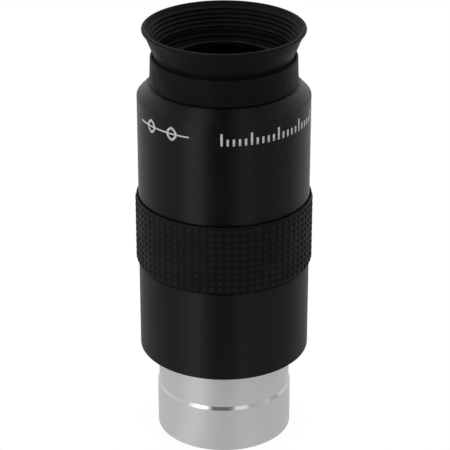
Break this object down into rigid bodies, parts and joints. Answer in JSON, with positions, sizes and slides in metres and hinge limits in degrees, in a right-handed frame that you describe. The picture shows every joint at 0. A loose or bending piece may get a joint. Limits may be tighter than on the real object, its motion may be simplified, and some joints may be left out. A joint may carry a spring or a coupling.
{
  "type": "telescope eyepiece",
  "caption": "Long telescope eyepiece with a polished insertion barrel, black body, studded rubber grip ring and fold-down rubber eyecup.",
  "frame": {"origin": "centre of the barrel's open end, which the eyepiece stands on", "axes": "+Z along the optical axis towards the eye; -Y is the front, where the printed marks are, and +X is to its right"},
  "size_m": [0.0408, 0.0408, 0.1],
  "materials": {
    "barrel_chrome": "satin-turned chrome with a bright bevel",
    "lower_anodised": "satin black anodised",
    "upper_anodised": "semi-gloss black anodised",
    "cap_anodised": "matte black anodised",
    "blackened_metal": "flat black, against glare",
    "screw_steel": "black oxide",
    "grip_rubber": "matte moulded rubber",
    "cup_rubber": "matte soft rubber",
    "crown_glass": "polished, multicoated",
    "flint_glass": "polished, multicoated"
  },
  "bodies": {
    "barrel": {"barrel": "barrel_chrome", "field_stop": "blackened_metal"},
    "thread_carriage": {"glare_baffle": "blackened_metal"},
    "housing": {"lower_housing": "lower_anodised", "upper_housing": "upper_anodised", "housing_screws": "screw_steel", "grip_ring": "grip_rubber", "lens_cell": "blackened_metal", "cell_lock_ring": "blackened_metal", "field_retainer": "blackened_metal", "field_flint": "flint_glass", "field_crown": "crown_glass", "lens_spacer": "blackened_metal", "eye_crown": "crown_glass", "eye_flint": "flint_glass", "eye_retainer": "blackened_metal", "eye_cap": "cap_anodised", "eyecup_skirt": "cup_rubber", "eyecup_wall": "cup_rubber"},
    "rim": {"eyecup_rim": "cup_rubber"}
  },
  "joints": [
    {"name": "housing_lift", "type": "slide", "parent": "barrel", "child": "thread_carriage", "axis": [0, 0, 1], "range_m": [0, 0.00375]},
    {"name": "housing_turn", "type": "hinge", "parent": "thread_carriage", "child": "housing", "pos_m": [0, 0, 0.0236], "axis": [0, 0, 1], "range_deg": [0, 1800]},
    {"name": "eyecup_fold", "type": "slide", "parent": "housing", "child": "rim", "axis": [0, 0, -1], "range_m": [0, 0.0112], "deforming": ["eyecup_wall"]}
  ],
  "couplings": [
    {"joint": "housing_lift", "follows": "housing_turn", "m_per_rad": 0.00011937}
  ]
}
